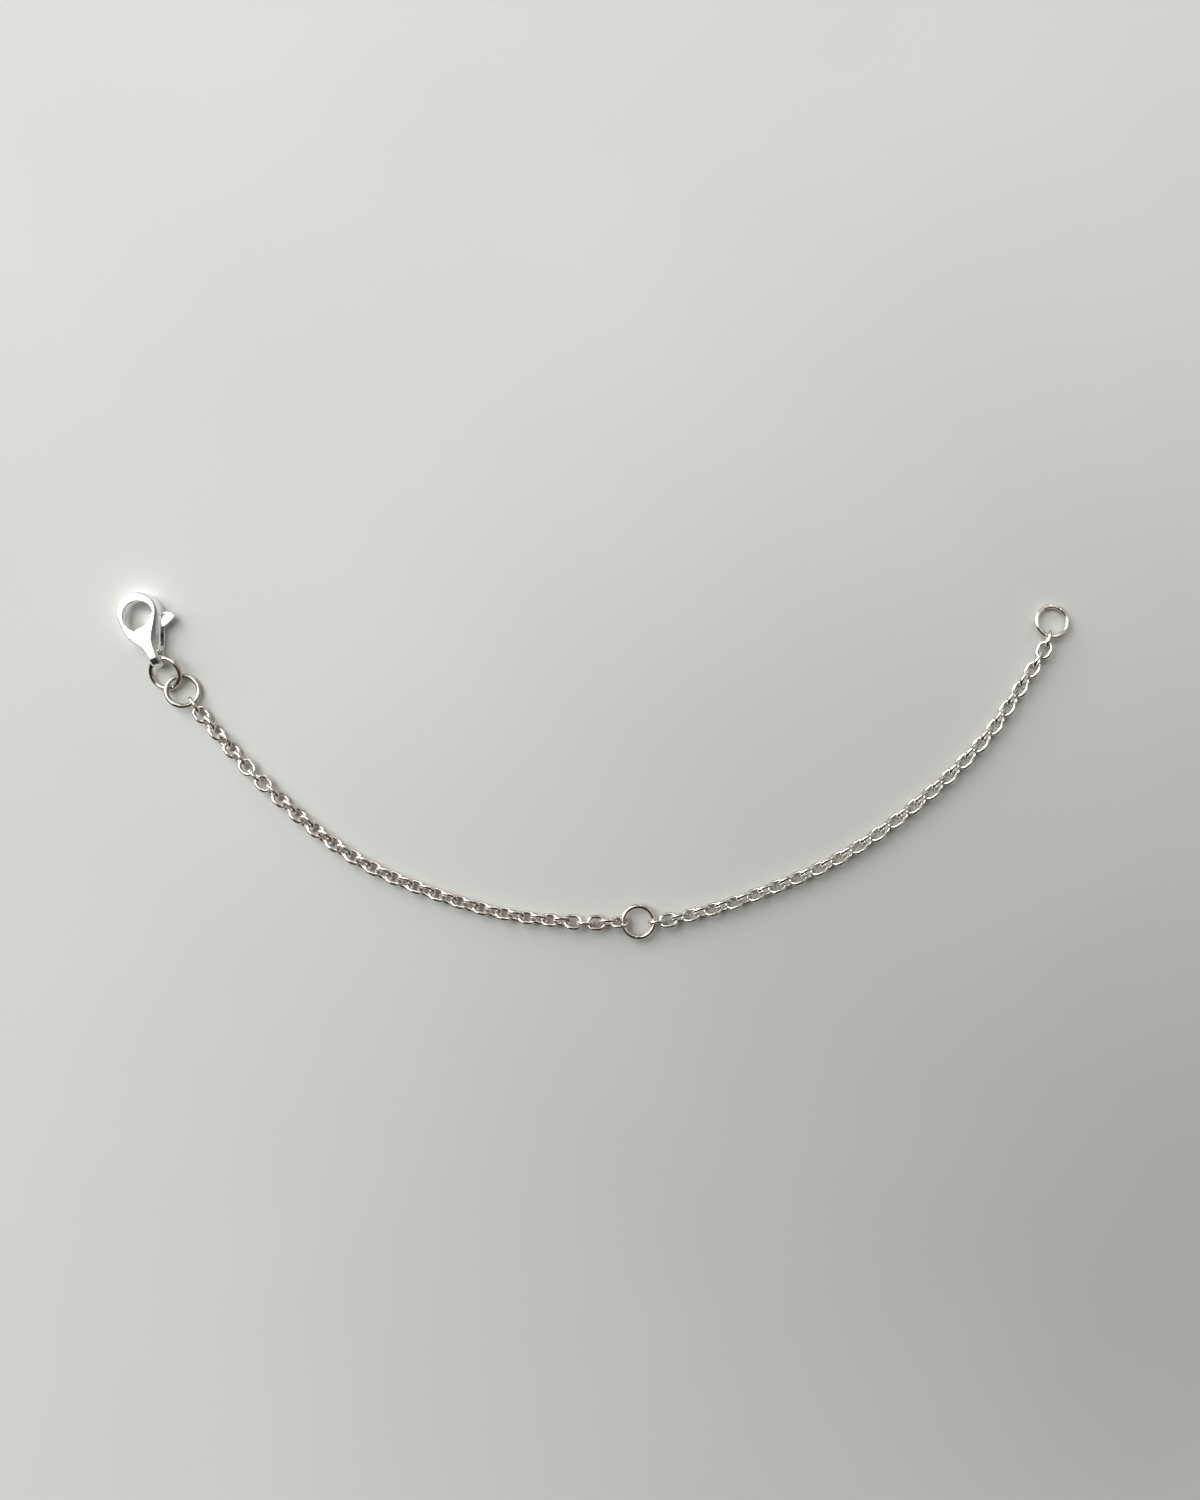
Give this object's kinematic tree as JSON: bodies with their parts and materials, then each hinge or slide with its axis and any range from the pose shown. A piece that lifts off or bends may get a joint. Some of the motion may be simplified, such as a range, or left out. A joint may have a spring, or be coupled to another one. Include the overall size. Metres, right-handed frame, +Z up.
{
  "type": "chain extender",
  "caption": "Silver chain extender: a lobster clasp with a sprung thumb lever on jump rings, then fine oval cable chain with a ring midway and a ring at its end.",
  "frame": {"origin": "middle of the outline on the surface the part lies on", "axes": "+Z up from that surface, +X across the arc from the clasp to the end ring, +Y from the sagging middle ring towards the clasp's hook"},
  "size_m": [0.1056, 0.0384, 0.0023],
  "materials": {
    "clasp_silver": "polished cast silver",
    "ring_silver": "polished drawn silver wire",
    "chain_silver": "polished drawn silver wire"
  },
  "bodies": {
    "extender": {"clasp_body": "clasp_silver", "clasp_pin": "clasp_silver", "clasp_ring": "ring_silver", "chain_ring": "ring_silver", "first_chain": "chain_silver", "middle_ring": "ring_silver", "second_chain": "chain_silver", "end_ring": "ring_silver"},
    "lever": {"clasp_lever": "clasp_silver"}
  },
  "joints": [
    {"name": "lever_pivot", "type": "hinge", "parent": "extender", "child": "lever", "pos_m": [-0.04956, 0.01382, 0.00115], "axis": [0, 0, -1], "range_deg": [0, 28], "stiffness_Nm_per_rad": 0.0004, "springref_deg": -17.19}
  ]
}
